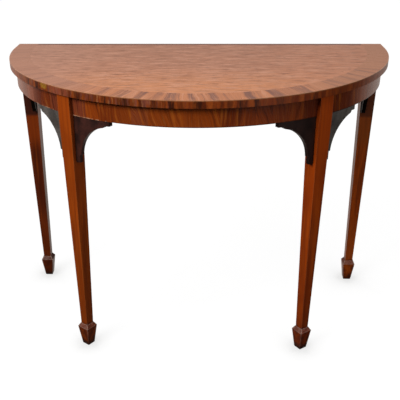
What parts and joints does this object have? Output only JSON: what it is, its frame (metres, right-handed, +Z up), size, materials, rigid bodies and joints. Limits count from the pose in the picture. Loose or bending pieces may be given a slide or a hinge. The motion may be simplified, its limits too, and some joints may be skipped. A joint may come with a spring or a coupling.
{
  "type": "demilune table",
  "caption": "Half-round side table with a crossbanded veneered top, a curved frieze, square tapered legs on spade feet and dark shaped brackets.",
  "frame": {"origin": "on the floor, under the middle of the top's outline", "axes": "+X along the straight back edge, +Y towards the wall behind the table, +Z up; the round front faces -Y"},
  "size_m": [1.06, 0.58, 0.748],
  "materials": {
    "figured_top_veneer": "polished figured mahogany, grain along the length",
    "crossbanding": "polished cross-grained banding with dark and orange stripes",
    "dark_stringing": "polished dark strip",
    "frieze_veneer": "polished mahogany veneer in upright leaves",
    "leg_mahogany": "polished solid mahogany",
    "dark_bracket": "dark stained and polished hardwood",
    "pine_carcase": "bare aged pine",
    "screw_steel": "dull steel"
  },
  "bodies": {
    "root": {"back_rail": "pine_carcase", "bracket_back_left": "dark_bracket", "bracket_back_right": "dark_bracket", "bracket_front_left_inner": "dark_bracket", "bracket_front_left_outer": "dark_bracket", "bracket_front_right_inner": "dark_bracket", "bracket_front_right_outer": "dark_bracket", "centre_brace": "pine_carcase", "frieze_course_lower": "pine_carcase", "frieze_course_middle": "pine_carcase", "frieze_course_upper": "pine_carcase", "frieze_veneer_centre": "frieze_veneer", "frieze_veneer_left": "frieze_veneer", "frieze_veneer_right": "frieze_veneer", "glue_blocks": "pine_carcase", "leg_back_left": "leg_mahogany", "leg_back_right": "leg_mahogany", "leg_front_left": "leg_mahogany", "leg_front_right": "leg_mahogany", "spade_foot_back_left": "leg_mahogany", "spade_foot_back_right": "leg_mahogany", "spade_foot_front_left": "leg_mahogany", "spade_foot_front_right": "leg_mahogany", "top_back_strip": "dark_stringing", "top_crossband": "crossbanding", "top_edge_veneer": "crossbanding", "top_field_veneer": "figured_top_veneer", "top_plank_front": "pine_carcase", "top_plank_middle": "pine_carcase", "top_plank_rear": "pine_carcase", "top_screws": "screw_steel"}
  },
  "joints": []
}
